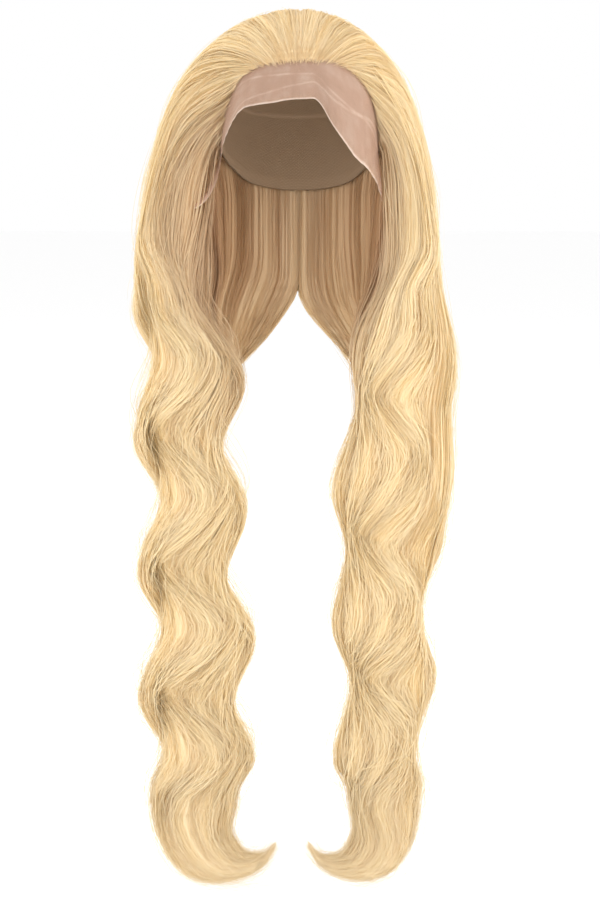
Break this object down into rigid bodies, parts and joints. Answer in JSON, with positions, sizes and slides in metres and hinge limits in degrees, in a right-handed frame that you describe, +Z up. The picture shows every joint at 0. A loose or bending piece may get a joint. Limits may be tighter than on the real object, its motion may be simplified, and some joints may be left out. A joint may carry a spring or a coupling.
{
  "type": "lace front wig",
  "caption": "Long blond body-wave wig in its worn form: net cap, sheer lace front, swept-back crown and two falls that hang in front of the shoulders.",
  "frame": {"origin": "inside of the cap's top, where the wig sits on a head", "axes": "+Z up, the face towards -Y, +X to the right as seen from the front"},
  "size_m": [0.3152, 0.2143, 0.8498],
  "materials": {
    "cap_net": "matt elastic net",
    "lace": "sheer net",
    "crown_hair": "soft sheen hair",
    "fall_hair": "soft sheen hair"
  },
  "bodies": {
    "root": {"cap": "cap_net", "lace_front": "lace", "crown_hair": "crown_hair", "left_fall": "fall_hair", "right_fall": "fall_hair"}
  },
  "joints": []
}
